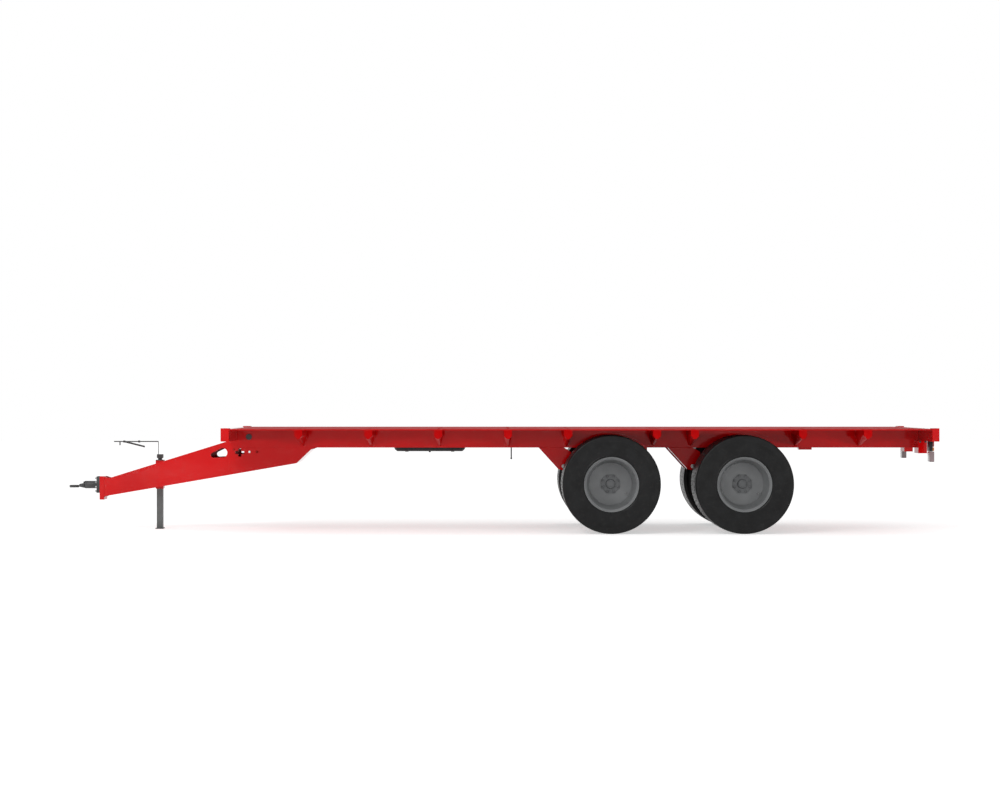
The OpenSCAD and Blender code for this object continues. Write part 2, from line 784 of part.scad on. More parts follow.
module rear_lamp(side) {
    lamp_back = 12;
    lamp_inset = 330;
    color("darkred") on_side(side)
        translate([rear_x - lamp_back - lamp_d, half_w - lamp_inset - lamp_w / 2, end_beam_z0 - lamp_h])
            cube([lamp_d, lamp_w, lamp_h]);
}

main_beam("left");  // main_beam_left
main_beam("right");  // main_beam_right
front_beam();
rear_beam();
cross_members();
cross_pipe();
outriggers("left");  // outriggers_left
outriggers("right");  // outriggers_right
floor_sheet(0);  // floor_front
floor_sheet(1);  // floor_mid_front
floor_sheet(2);  // floor_mid_rear
floor_sheet(3);  // floor_rear
edge_bar("left");  // edge_bar_left
edge_bar("right");  // edge_bar_right
drawbar_side("left");  // drawbar_side_left
drawbar_side("right");  // drawbar_side_right
drawbar_plates();
nose_plate();
tow_flange();
tow_eye();
leg_sleeve();
jack_head();
leg_tube();
leg_foot();
hose_holder();
air_tank();
tank_straps();
brake_valve();
hangers("left");  // hangers_left
hangers("right");  // hangers_right
slippers("left");  // slippers_left
slippers("right");  // slippers_right
leaf_springs("left");  // leaf_springs_left
leaf_springs("right");  // leaf_springs_right
spring_clamps();
axle(axle_x[0]);  // axle_front
axle(axle_x[1]);  // axle_rear
brake_chambers();
rear_brackets();
rear_lamp("left");  // rear_lamp_left
rear_lamp("right");  // rear_lamp_right
tyre(0, "left");  // tyre_front_left
tyre(0, "right");  // tyre_front_right
tyre(1, "left");  // tyre_rear_left
tyre(1, "right");  // tyre_rear_right
rim(0, "left");  // rim_front_left
rim(0, "right");  // rim_front_right
rim(1, "left");  // rim_rear_left
rim(1, "right");  // rim_rear_right
hub(0, "left");  // hub_front_left
hub(0, "right");  // hub_front_right
hub(1, "left");  // hub_rear_left
hub(1, "right");  // hub_rear_right
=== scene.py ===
# %% [markdown]
# # A flat-deck hay wagon
#
# The wagon is a red deck on two channel beams, carried by four wide tyres, with a cranked drawbar in front.
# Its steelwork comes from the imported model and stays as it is: here it gets its paint. What a welder, a tyre
# maker or a fitter adds is modelled round it: tread, nuts, bolts, weld beads, lamps and the air tank.
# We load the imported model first, because every later place is read from its boxes.

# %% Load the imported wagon
import json
import math
import bmesh
import bpy
from mathutils import Matrix, Vector


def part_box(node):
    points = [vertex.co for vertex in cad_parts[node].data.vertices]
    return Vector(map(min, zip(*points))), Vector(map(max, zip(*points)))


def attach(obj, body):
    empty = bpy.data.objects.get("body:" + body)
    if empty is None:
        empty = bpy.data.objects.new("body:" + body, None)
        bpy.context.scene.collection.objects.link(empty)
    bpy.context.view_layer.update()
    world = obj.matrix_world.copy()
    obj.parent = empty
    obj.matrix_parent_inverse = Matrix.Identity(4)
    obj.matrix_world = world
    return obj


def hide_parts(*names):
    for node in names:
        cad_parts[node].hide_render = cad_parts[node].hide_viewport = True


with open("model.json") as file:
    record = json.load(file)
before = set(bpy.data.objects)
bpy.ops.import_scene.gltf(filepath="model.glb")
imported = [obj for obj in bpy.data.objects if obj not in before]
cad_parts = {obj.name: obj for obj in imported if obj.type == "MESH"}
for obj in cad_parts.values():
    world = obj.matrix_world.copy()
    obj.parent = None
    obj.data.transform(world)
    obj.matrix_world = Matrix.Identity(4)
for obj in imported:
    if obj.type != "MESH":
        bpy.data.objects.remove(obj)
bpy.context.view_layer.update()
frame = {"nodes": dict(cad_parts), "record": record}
nodes = frame["nodes"]

# %% [markdown]
# ## The camera
#
# A long lens far to the side shows the wagon nearly without perspective, as in a sales sheet. A short lens
# close by would bend the deck's long lines apart. The camera stands a little above the deck, level, so the
# floor sheets show only as a thin band along the top.

# %% Camera
EYE = Vector((0.0665, -28.65, 1.639))
LENS_MM = 80.9

bpy.ops.object.select_all(action="DESELECT")
bpy.ops.object.camera_add(location=EYE, rotation=(math.pi / 2, 0, 0))
camera = bpy.context.object
camera.name = "side_camera"
camera.data.lens = LENS_MM
camera.data.sensor_width = 36
camera.data.clip_end = 200
bpy.context.scene.camera = camera
print("camera", tuple(round(v, 3) for v in camera.location), "lens", LENS_MM)

# %% [markdown]
# ## The studio
#
# A white studio is mostly a big soft light: the sky lights the wagon from all sides, and one wide lamp, high
# in front and to the left, gives the drawbar its brighter face. Making the lamps stronger would whiten the
# background too, but it would burn out the paint, so the background is white by its own colour instead: rays
# that come straight from the camera, or that bounce off gloss or through glass, see plain white. Three wide
# low lamps, in front and off both near corners, reach under the deck and light the sides of its outriggers.
# Gloss doesn't mirror them, as with a tented light.

# %% Light and floor
SKY_LEVEL = 0.62
KEY_WATTS = 1000
FILLS = {
    "front_fill": (650, (0, -24, 1.2)),
    "left_fill": (1400, (-19, -19, 0.9)),
    "right_fill": (1400, (19, -19, 0.9)),
}
LIT_POINT = Vector((0, 0, 0.8))
FLOOR_HALF = 60
FLOOR_SHADE = 0.88
FLOOR_GLOW = 0.52


def white_for_looks(tree):
    """1 for rays from the camera, off gloss and through glass, and 0 for the rest."""
    path = tree.nodes.new("ShaderNodeLightPath")
    value = path.outputs["Is Camera Ray"]
    for other in ("Is Glossy Ray", "Is Transmission Ray"):
        both = tree.nodes.new("ShaderNodeMath")
        both.operation = "MAXIMUM"
        tree.links.new(value, both.inputs[0])
        tree.links.new(path.outputs[other], both.inputs[1])
        value = both.outputs[0]
    return value


world = bpy.data.worlds.new("white_studio")
bpy.context.scene.world = world
world.use_nodes = True
sky = world.node_tree
level = sky.nodes.new("ShaderNodeMapRange")
level.inputs["To Min"].default_value = SKY_LEVEL
level.inputs["To Max"].default_value = 1
sky.links.new(white_for_looks(sky), level.inputs["Value"])
sky.nodes["Background"].inputs["Color"].default_value = (1, 1, 1, 1)
sky.links.new(level.outputs["Result"], sky.nodes["Background"].inputs["Strength"])

bpy.ops.object.light_add(type="AREA", location=(-9, -15, 13))
key = bpy.context.object
key.name = "key_light"
key.data.energy = KEY_WATTS
key.data.shape = "DISK"
key.data.size = 9
key.rotation_euler = (LIT_POINT - key.location).to_track_quat("-Z", "Y").to_euler()

for name, (watts, place) in FILLS.items():
    bpy.ops.object.light_add(type="AREA", location=place)
    fill = bpy.context.object
    fill.name = name
    fill.data.energy = watts
    fill.data.shape = "RECTANGLE"
    fill.data.size = 12
    fill.data.size_y = 2
    fill.rotation_euler = (LIT_POINT - fill.location).to_track_quat("-Z", "Y").to_euler()
    fill.visible_glossy = False
    fill.visible_camera = False

bpy.ops.object.select_all(action="DESELECT")
bpy.ops.mesh.primitive_plane_add(size=2 * FLOOR_HALF, location=(0, 0, 0))
floor = bpy.context.object
floor.name = "studio_floor"

floor_finish = bpy.data.materials.new("studio_floor")
floor_finish.use_nodes = True
tree = floor_finish.node_tree
shader = tree.nodes["Principled BSDF"]
shader.inputs["Base Color"].default_value = (FLOOR_SHADE, FLOOR_SHADE, FLOOR_SHADE, 1)
shader.inputs["Roughness"].default_value = 1
shader.inputs["Specular IOR Level"].default_value = 0
shader.inputs["Emission Color"].default_value = (1, 1, 1, 1)
glow = tree.nodes.new("ShaderNodeMapRange")
glow.inputs["To Max"].default_value = FLOOR_GLOW
tree.links.new(white_for_looks(tree), glow.inputs["Value"])
tree.links.new(glow.outputs["Result"], shader.inputs["Emission Strength"])
floor.data.materials.append(floor_finish)

bpy.context.scene.view_settings.view_transform = "Standard"
print("sky", SKY_LEVEL, "key", KEY_WATTS, "W, fills", {name: watts for name, (watts, place) in FILLS.items()})

# %% [markdown]
# ## How the finishes are built
#
# Every finish starts from where a point is on the wagon, in metres, so patches and grain have a real size. A
# noise gives soft patches, a ramp turns it into two near colours, a second noise drives the roughness, and a
# fine one becomes relief. Painting pictures by hand would give more control, but node patterns stay sharp at
# any distance and need no file.

# %% Helpers for finishes


def new_finish(name):
    finish = bpy.data.materials.new(name)
    finish.use_nodes = True
    tree = finish.node_tree
    place = tree.nodes.new("ShaderNodeTexCoord").outputs["Object"]
    return finish, tree, tree.nodes["Principled BSDF"], place


def patches(tree, place, size, detail=3, stretch=(1, 1, 1)):
    """Soft noise with patches about size metres across."""
    mapping = tree.nodes.new("ShaderNodeMapping")
    mapping.inputs["Scale"].default_value = stretch
    noise = tree.nodes.new("ShaderNodeTexNoise")
    noise.inputs["Scale"].default_value = 1 / size
    noise.inputs["Detail"].default_value = detail
    tree.links.new(place, mapping.inputs["Vector"])
    tree.links.new(mapping.outputs["Vector"], noise.inputs["Vector"])
    return noise.outputs["Fac"]


def between(tree, value, low, high, start=0.35, end=0.65):
    """Maps a noise value to a range."""
    span = tree.nodes.new("ShaderNodeMapRange")
    span.inputs["From Min"].default_value = start
    span.inputs["From Max"].default_value = end
    span.inputs["To Min"].default_value = low
    span.inputs["To Max"].default_value = high
    tree.links.new(value, span.inputs["Value"])
    return span.outputs["Result"]


def two_tone(tree, value, first, second, start=0.35, end=0.65):
    """Runs from the first colour to the second as the value rises."""
    ramp = tree.nodes.new("ShaderNodeValToRGB")
    ramp.color_ramp.elements[0].position = start
    ramp.color_ramp.elements[1].position = end
    ramp.color_ramp.elements[0].color = (*first, 1)
    ramp.color_ramp.elements[1].color = (*second, 1)
    tree.links.new(value, ramp.inputs["Fac"])
    return ramp.outputs["Color"]


def mixed(tree, share, first, second):
    """The first colour, a socket, where share is 0, and the second, three numbers, where it is 1."""
    mix = tree.nodes.new("ShaderNodeMix")
    mix.data_type = "RGBA"
    tree.links.new(share, mix.inputs["Factor"])
    tree.links.new(first, mix.inputs["A"])
    mix.inputs["B"].default_value = (*second, 1)
    return mix.outputs["Result"]


def relief(tree, shader, height, depth, under=None):
    """Bump of that depth in metres, on top of another relief or a rounded edge."""
    bump = tree.nodes.new("ShaderNodeBump")
    bump.inputs["Strength"].default_value = 1
    bump.inputs["Distance"].default_value = depth
    tree.links.new(height, bump.inputs["Height"])
    if under is not None:
        tree.links.new(under, bump.inputs["Normal"])
    tree.links.new(bump.outputs["Normal"], shader.inputs["Normal"])


def rounded_edges(tree, radius):
    """A shading normal that rounds sharp edges."""
    bevel = tree.nodes.new("ShaderNodeBevel")
    bevel.samples = 4
    bevel.inputs["Radius"].default_value = radius
    return bevel.outputs["Normal"]


finishes = {}
print("finish helpers ready")

# %% [markdown]
# ## Red gloss paint
#
# The frame is sprayed in a deep, nearly pure red with a clear gloss. Paint isn't perfectly flat: it has a
# fine orange peel, it is a little thinner and brighter in places, and dust settles on it in soft clouds. A
# plate's edge is never razor sharp either, so a bevel node rounds it in shading. The gloss is kept low, so
# that the white studio only greys the red a little where it is mirrored. The gun reaches the outriggers under
# the deck at a slant, so there the paint dries thin and nearly matt: that is a second red. Its colour is also
# a little brighter than the frame's: that is painted light, which lifts the shade the deck casts on them.

# %% Frame paint
ORANGE_PEEL = 0.004
DUST = (0.35, 0.26, 0.2)


def red_gloss(name, deep, bright, rough, gloss):
    finish, tree, shader, place = new_finish(name)
    colour = two_tone(tree, patches(tree, place, 0.7), deep, bright)
    dust = between(tree, patches(tree, place, 0.16, 5), 0, 0.02, 0.5, 0.75)
    tree.links.new(mixed(tree, dust, colour, DUST), shader.inputs["Base Color"])
    grain = patches(tree, place, 0.09, 4)
    tree.links.new(between(tree, grain, rough, rough + 0.05), shader.inputs["Roughness"])
    shader.inputs["Specular IOR Level"].default_value = gloss
    relief(tree, shader, patches(tree, place, ORANGE_PEEL, 2), 0.00001, rounded_edges(tree, 0.003))
    finishes[name] = finish
    return tree, shader, place


red_gloss("red_paint", (0.47, 0.0012, 0.002), (0.54, 0.0022, 0.003), rough=0.04, gloss=0.18)
# matt, and brighter than red_paint: painted light that lifts the shade under the deck
red_gloss("red_matt_with_painted_light", (0.5, 0.0018, 0.0026), (0.56, 0.003, 0.004), rough=0.5, gloss=0.06)
print("frame paint ready")

# %% [markdown]
# ## Red floor
#
# The floor sheets carry bales, straw and boots, so their paint is rubbed along the wagon and duller than the
# beams. The same red is used with a longer grain: noise that is stretched along the deck gives scuffs that
# run the way the load slides. Real scratches would need geometry, and they are too fine for that here.

# %% Floor paint
tree, shader, place = red_gloss(
    "red_floor", (0.36, 0.003, 0.004), (0.43, 0.006, 0.008), rough=0.3, gloss=0.12)
scuffs = patches(tree, place, 0.03, 6, (0.12, 1, 1))
worn = between(tree, scuffs, 0, 0.1, 0.52, 0.7)
base = shader.inputs["Base Color"].links[0].from_socket
tree.links.new(mixed(tree, worn, base, (0.36, 0.1, 0.09)), shader.inputs["Base Color"])
tree.links.new(between(tree, scuffs, 0.55, 0.75), shader.inputs["Roughness"])
print("floor paint ready")

# %% [markdown]
# ## Greys of the wheels
#
# Rims are sprayed silver grey, with a faint metal grain, and the hub and its nuts are darker. Both are
# painted steel, so they stay non-metallic in the shader, and a tiny, dense noise stands for the flakes. Dust
# gathers low in the dish, which larger patches imitate.

# %% Wheel finishes


def sprayed_grey(name, dark, light, rough):
    finish, tree, shader, place = new_finish(name)
    flakes = patches(tree, place, 0.0015, 1)
    colour = two_tone(tree, patches(tree, place, 0.2, 4), dark, light)
    sparkle = between(tree, flakes, 0, 0.18, 0.55, 0.7)
    tree.links.new(mixed(tree, sparkle, colour, light), shader.inputs["Base Color"])
    tree.links.new(between(tree, patches(tree, place, 0.05), rough, rough + 0.12), shader.inputs["Roughness"])
    relief(tree, shader, patches(tree, place, 0.003, 2), 0.00005, rounded_edges(tree, 0.002))
    finishes[name] = finish


sprayed_grey("rim_grey", (0.135, 0.139, 0.142), (0.168, 0.172, 0.175), rough=0.42)
sprayed_grey("hub_grey", (0.075, 0.078, 0.081), (0.1, 0.103, 0.106), rough=0.42)
print("wheel finishes ready")

# %% [markdown]
# ## Bare and coated steel
#
# Three steels show. The tow eye and the jack are dark forgings with a pebbled skin. The leg is zinc plated:
# zinc freezes in flat crystals, which a Voronoi pattern of cells gives, each cell a little brighter or
# darker. Springs and axles are satin black with brown road dust in the hollows.

# %% Steel finishes


def forged_steel(name, dark, light, metallic, rough, pebble, depth):
    finish, tree, shader, place = new_finish(name)
    colour = two_tone(tree, patches(tree, place, 0.06, 5), dark, light)
    tree.links.new(colour, shader.inputs["Base Color"])
    shader.inputs["Metallic"].default_value = metallic
    worn = patches(tree, place, 0.02, 4)
    tree.links.new(between(tree, worn, rough, rough + 0.18), shader.inputs["Roughness"])
    relief(tree, shader, patches(tree, place, pebble, 4), depth, rounded_edges(tree, 0.002))
    finishes[name] = finish
    return tree, shader, place


forged_steel(
    "dark_steel", (0.036, 0.036, 0.036), (0.06, 0.06, 0.06),
    metallic=0.3, rough=0.45, pebble=0.006, depth=0.0003)
forged_steel(
    "bright_bolt", (0.3, 0.3, 0.3), (0.42, 0.42, 0.41),
    metallic=0.85, rough=0.3, pebble=0.004, depth=0.0001)

tree, shader, place = forged_steel(
    "leg_zinc", (0.085, 0.088, 0.087), (0.11, 0.113, 0.112),
    metallic=0.35, rough=0.42, pebble=0.02, depth=0.0001)
cells = tree.nodes.new("ShaderNodeTexVoronoi")
cells.inputs["Scale"].default_value = 60
tree.links.new(place, cells.inputs["Vector"])
base = shader.inputs["Base Color"].links[0].from_socket
crystal = between(tree, cells.outputs["Distance"], 0, 0.3, 0, 1)
tree.links.new(mixed(tree, crystal, base, (0.12, 0.125, 0.125)), shader.inputs["Base Color"])

tree, shader, place = forged_steel(
    "running_gear", (0.022, 0.022, 0.023), (0.04, 0.039, 0.038),
    metallic=0, rough=0.45, pebble=0.008, depth=0.0002)
base = shader.inputs["Base Color"].links[0].from_socket
road_dust = between(tree, patches(tree, place, 0.12, 5), 0, 0.35, 0.52, 0.75)
tree.links.new(mixed(tree, road_dust, base, (0.13, 0.105, 0.08)), shader.inputs["Base Color"])

tree, shader, place = forged_steel(
    "black_parts", (0.008, 0.008, 0.009), (0.014, 0.014, 0.015),
    metallic=0, rough=0.24, pebble=0.02, depth=0.00008)
shader.inputs["Specular IOR Level"].default_value = 0.2
print("steel finishes ready")

# %% [markdown]
# ## Rubber
#
# New tyre rubber is nearly black with a soft sheen, and it shows best where light grazes it: there the tread
# turns grey. Moulded rubber has a very fine grain, and dried mud dust greys it in clouds. A dark base with a
# middling roughness gives both, and the grazing sheen comes from the shader by itself.

# %% Rubber finish
finish, tree, shader, place = new_finish("tyre")
rubber = two_tone(tree, patches(tree, place, 0.12, 4), (0.006, 0.006, 0.0062), (0.0095, 0.0097, 0.01))
mud = between(tree, patches(tree, place, 0.05, 6), 0, 0.05, 0.55, 0.8)
tree.links.new(mixed(tree, mud, rubber, (0.16, 0.15, 0.13)), shader.inputs["Base Color"])
tree.links.new(between(tree, patches(tree, place, 0.03, 4), 0.3, 0.4), shader.inputs["Roughness"])
shader.inputs["Specular IOR Level"].default_value = 0.16
relief(tree, shader, patches(tree, place, 0.0025, 3), 0.00012)
finishes["tyre"] = finish
print("rubber ready")

# %% [markdown]
# ## Lamp plastics
#
# A lamp is a dark housing with tinted lenses. Lenses are ribbed inside, which scatters the light, so a fine
# wave pattern is used as relief under a smooth gloss. True see-through plastic would need a bulb and a
# reflector behind it, and closed lamps show neither.

# %% Lamp finishes
LENS_RIBS = 90


def lens(name, dark, light):
    finish, tree, shader, place = new_finish(name)
    wave = tree.nodes.new("ShaderNodeTexWave")
    wave.bands_direction = "Y"
    wave.inputs["Scale"].default_value = LENS_RIBS
    tree.links.new(place, wave.inputs["Vector"])
    tree.links.new(two_tone(tree, wave.outputs["Fac"], dark, light, 0.2, 0.8), shader.inputs["Base Color"])
    tree.links.new(between(tree, patches(tree, place, 0.03), 0.08, 0.16), shader.inputs["Roughness"])
    shader.inputs["Coat Weight"].default_value = 0.5
    relief(tree, shader, wave.outputs["Fac"], 0.0004)
    finishes[name] = finish


lens("lamp", (0.2, 0.004, 0.006), (0.34, 0.012, 0.015))
lens("lens_amber", (0.42, 0.13, 0.01), (0.58, 0.2, 0.02))
lens("lens_clear", (0.14, 0.095, 0.098), (0.2, 0.14, 0.147))
print("lamp finishes ready")

# %% [markdown]
# ## Paint the steelwork
#
# The imported record says which slot each piece belongs to, so one loop gives every piece of the steelwork its
# finish, and only the outriggers take the matt red, whose brighter colour is painted light against the deck's
# shade. Their meshes aren't touched.

# %% Finishes on the steelwork
UNDER_THE_DECK = ("outriggers_left", "outriggers_right")
for piece in frame["record"]["subparts"]:
    steelwork = nodes[piece["node"]]
    # the outriggers' red is painted light: brighter, to lift the shade the deck casts on them
    finish = finishes["red_matt_with_painted_light" if piece["node"] in UNDER_THE_DECK else piece["material_slot"]]
    if steelwork.material_slots:
        for slot in steelwork.material_slots:
            slot.material = finish
    else:
        steelwork.data.materials.append(finish)

# %% [markdown]
# ## Tools for shaping
#
# Modelling by hand is mostly three moves: select some faces or edges, run an operator on them, and apply. As
# operators act on everything that is selected, each helper starts by clearing the selection. Faces and edges
# are picked by a small test of their place, which says what a hand would click on.

# %% Helpers for shaping


def clear():
    if bpy.context.object and bpy.context.object.mode != "OBJECT":
        bpy.ops.object.mode_set(mode="OBJECT")
    bpy.ops.object.select_all(action="DESELECT")


def only(piece):
    """Selects the piece alone, and makes it the active one."""
    clear()
    piece.select_set(True)
    bpy.context.view_layer.objects.active = piece


def bake_place():
    """The place, turn and scale of what is selected go into its mesh."""
    bpy.ops.object.transform_apply(location=True, rotation=True, scale=True)


def edit(piece, mode):
    """Opens the piece in edit mode with nothing selected, picking FACE, EDGE or VERT."""
    only(piece)
    bpy.ops.object.mode_set(mode="EDIT")
    bpy.ops.mesh.select_mode(type=mode)
    bpy.ops.mesh.select_all(action="DESELECT")


def pick(piece, kind, test):
    """Selects the faces, edges or verts whose test is true, and returns how many there are."""
    cage = bmesh.from_edit_mesh(piece.data)
    found = 0
    for part in getattr(cage, kind):
        chosen = bool(test(part))
        part.select_set(chosen)
        found += chosen
    cage.select_flush_mode()
    bmesh.update_edit_mesh(piece.data)
    return found


def settle(piece, name, finish):
    """Ends a piece: its place goes into its mesh, its edges are shaded, and it gets its finish."""
    only(piece)
    bake_place()
    bpy.ops.object.shade_smooth_by_angle(angle=math.radians(38))
    piece.name = piece.data.name = name
    piece.data.materials.clear()
    piece.data.materials.append(finishes[finish])
    return piece


def round_edges(piece, width, segments):
    """A bevel modifier on the sharp edges, applied."""
    only(piece)
    bevel = piece.modifiers.new("edges", "BEVEL")
    bevel.width = width
    bevel.segments = segments
    bevel.limit_method = "ANGLE"
    bevel.angle_limit = math.radians(30)
    bpy.ops.object.modifier_apply(modifier=bevel.name)


def join(pieces):
    """Makes one piece of several."""
    only(pieces[0])
    for piece in pieces:
        piece.select_set(True)
    bpy.ops.object.join()
    return bpy.context.object


def copies(model, places, name, finish, body):
    """Copies a model that stands on the origin along +Z to each (point, direction, scale)."""
    made = []
    for point, direction, scale in places:
        copy = model.copy()
        copy.data = model.data.copy()
        bpy.context.scene.collection.objects.link(copy)
        turn = Vector((0, 0, 1)).rotation_difference(Vector(direction)).to_matrix().to_4x4()
        copy.matrix_world = Matrix.Translation(point) @ turn @ Matrix.Diagonal((*scale, 1))
        made.append(copy)
    piece = settle(join(made), name, finish)
    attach(piece, body)
    return piece


def islands(node, gap=0.15):
    """The groups of a node's points that lie more than gap apart in X, as (lowest, highest corner)."""
    corners = sorted((v.co.copy() for v in nodes[node].data.vertices), key=lambda p: p.x)
    groups = [[corners[0]]]
    for corner in corners[1:]:
        if corner.x - groups[-1][-1].x > gap:
            groups.append([])
        groups[-1].append(corner)
    lowest = [Vector([min(values) for values in zip(*group)]) for group in groups]
    highest = [Vector([max(values) for values in zip(*group)]) for group in groups]
    return list(zip(lowest, highest))


print("shaping helpers ready")

# %% [markdown]
# ## Tyres
#
# A wide wagon tyre has flat walls, tight shoulders and a low ribbed tread that doesn't cut up grass. A tyre
# is a turned body, so its section, four grooves and all, is drawn once and spun round the axle. The section
# starts as a circle whose points are moved to the section's corners. Then every fifth face of each rib is
# selected and pushed inwards, so the cross slots are real geometry too. A texture could fake them, but not
# where the tread meets the ground.

# %% Tyre section and spin
SEGMENTS = 180
GROOVE_DEPTH = 0.012
GROOVE_WALL = 0.004
# each groove's start and end, as shares of the half width
GROOVES = ((0.2, 0.26), (0.56, 0.62))
SHOULDER_START = 0.84
SLOT_DEPTH = 0.0025
SLOT_EVERY = 5
SLOTS_END = 0.92
# from the shoulder to the foot of the wall: how far below the tread, and how far in from the widest place
SIDEWALL = (
    (0.003, 0.03), (0.006, 0.014), (0.014, 0.004), (0.026, 0.0005), (0.05, 0), (0.056, 0.002), (0.09, 0.0025),
    (0.096, 0), (0.16, 0), (0.166, 0.002), (0.205, 0.006),
)
# round the bead: how far above the rim's edge, and how far in
BEAD = ((0.026, 0.014), (0.02, 0.011), (0.008, 0.018), (0.003, 0.034), (0.002, 0.052))
SEAT_BELOW_RIM = 0.018
WHEELS = [(axle, side) for axle in ("front", "rear") for side in ("left", "right")]


def tyre_section(radius, half, rim):
    """Half of the section from the middle of the tread to the bead, as (radius, distance outward)."""
    tread = [(radius, 0)]
    for start, end in GROOVES:
        tread += [(radius, start * half), (radius - GROOVE_DEPTH, start * half + GROOVE_WALL)]
        tread += [(radius - GROOVE_DEPTH, end * half - GROOVE_WALL), (radius, end * half)]
    shoulder = [(radius - 0.001, SHOULDER_START * half)]
    wall = [(radius - down, half - inward) for down, inward in SIDEWALL]
    bead = [(rim + up, half - inward) for up, inward in BEAD]
    seat = [(rim - SEAT_BELOW_RIM, half - 0.056), (rim - SEAT_BELOW_RIM, 0.05)]
    return tread + shoulder + wall + bead + seat


def spun(points, centre, steps):
    """Spins a closed section, given as (radius, distance along Y), round the Y axis through centre."""
    bpy.ops.mesh.primitive_circle_add(vertices=len(points), radius=0.1, location=(0, 0, 0))
    piece = bpy.context.object
    for corner, (radius, along) in zip(piece.data.vertices, points):
        corner.co = (centre.x + radius, centre.y + along, centre.z)
    edit(piece, "EDGE")
    bpy.ops.mesh.select_all(action="SELECT")
    bpy.ops.mesh.spin(steps=steps, angle=2 * math.pi, center=centre, axis=(0, 1, 0))
    bpy.ops.mesh.select_all(action="SELECT")
    bpy.ops.mesh.remove_doubles(threshold=0.00005)
    bpy.ops.mesh.normals_make_consistent(inside=False)
    return piece


def middle_of(node):
    low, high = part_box(node)
    return (low + high) / 2


# %% Tread and wheels


def cut_slots(tyre, centre, radius, half):
    """Pushes every fifth face of each rib inwards, with neighbouring ribs out of step."""
    pitch = 2 * math.pi / SEGMENTS

    def in_slot(face):
        spot = face.calc_center_median() - centre
        if math.hypot(spot.x, spot.z) < radius - GROOVE_WALL:
            return False
        across = abs(spot.y) / half
        rib = sum(across > start for start, end in GROOVES)
        turn = round(math.atan2(spot.z, spot.x) / pitch - 0.5)
        return across < SLOTS_END and (turn + 2 * rib) % SLOT_EVERY == 0

    bpy.ops.mesh.select_mode(type="FACE")
    count = pick(tyre, "faces", in_slot)
    bpy.ops.mesh.extrude_region_shrink_fatten(
        MESH_OT_extrude_region={"use_normal_flip": False},
        TRANSFORM_OT_shrink_fatten={"value": -SLOT_DEPTH},
    )
    return count


for axle, side in WHEELS:
    cad_tyre = f"tyre_{axle}_{side}"
    low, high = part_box(cad_tyre)
    centre = middle_of(cad_tyre)
    radius, half = (high.z - low.z) / 2, (high.y - low.y) / 2
    rim_low, rim_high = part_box(f"rim_{axle}_{side}")
    rim_radius = (rim_high.z - rim_low.z) / 2
    one_side = tyre_section(radius, half, rim_radius)
    section = one_side + [(r, -y) for r, y in reversed(one_side[1:])]
    clear()
    tyre = spun(section, centre, SEGMENTS)
    slots = cut_slots(tyre, centre, radius, half)
    settle(tyre, f"treaded_tyre_{axle}_{side}", "tyre")
    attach(tyre, f"wheel_{axle}_{side}")
    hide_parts(cad_tyre)
    print(tyre.name, "slot faces", slots)

# %% [markdown]
# ## Bolts and nuts
#
# A bolt head is a hexagon with a chamfered face, on a round washer, with the end of its thread. One such bolt
# is modelled at the origin, standing up, and copied to every place with its own size. Modelling each one in
# place would cost the same work dozens of times.

# %% One bolt as a model
clear()
bpy.ops.mesh.primitive_cylinder_add(vertices=6, radius=0.5, depth=0.36, location=(0, 0, 0.26))
head = bpy.context.object
edit(head, "FACE")
pick(head, "faces", lambda f: f.normal.z > 0.9)
bpy.ops.mesh.inset(thickness=0.06, depth=0.05)
clear()
bpy.ops.mesh.primitive_cylinder_add(vertices=20, radius=0.62, depth=0.09, location=(0, 0, 0.045))
washer = bpy.context.object
clear()
bpy.ops.mesh.primitive_cylinder_add(vertices=12, radius=0.27, depth=0.3, location=(0, 0, 0.55))
stud = bpy.context.object
edit(stud, "FACE")
pick(stud, "faces", lambda f: f.normal.z > 0.9)
bpy.ops.mesh.inset(thickness=0.05, depth=0.03)
bolt = join([head, washer, stud])
bake_place()
bolt.name = "bolt_model"
print("bolt model faces", len(bolt.data.polygons))

# %% [markdown]
# ## Wheel nuts, caps and valves
#
# The disc is held by a ring of nuts round the hub, and a pressed cap keeps the grease in. The valve stands in
# the dish, where a hose can reach it. Nuts turn with the wheel, so they ride on the wheel's body.

# %% Hub details
NUTS = 8
NUT = (0.03, 0.03, 0.024)
NUT_CIRCLE = 0.099
CAP_RADIUS = 0.05
STEM = 0.07
STEM_X, STEM_Z = 0.19, -0.12
RING_BELOW_CAP = 0.017
DISC_BELOW_CAP = 0.029


def ring(count, radius, centre, out, start):
    """Points on a circle round a Y axis through centre, moved by out along it."""
    turns = [start + 2 * math.pi * i / count for i in range(count)]
    return [centre + Vector((radius * math.cos(t), out, radius * math.sin(t))) for t in turns]


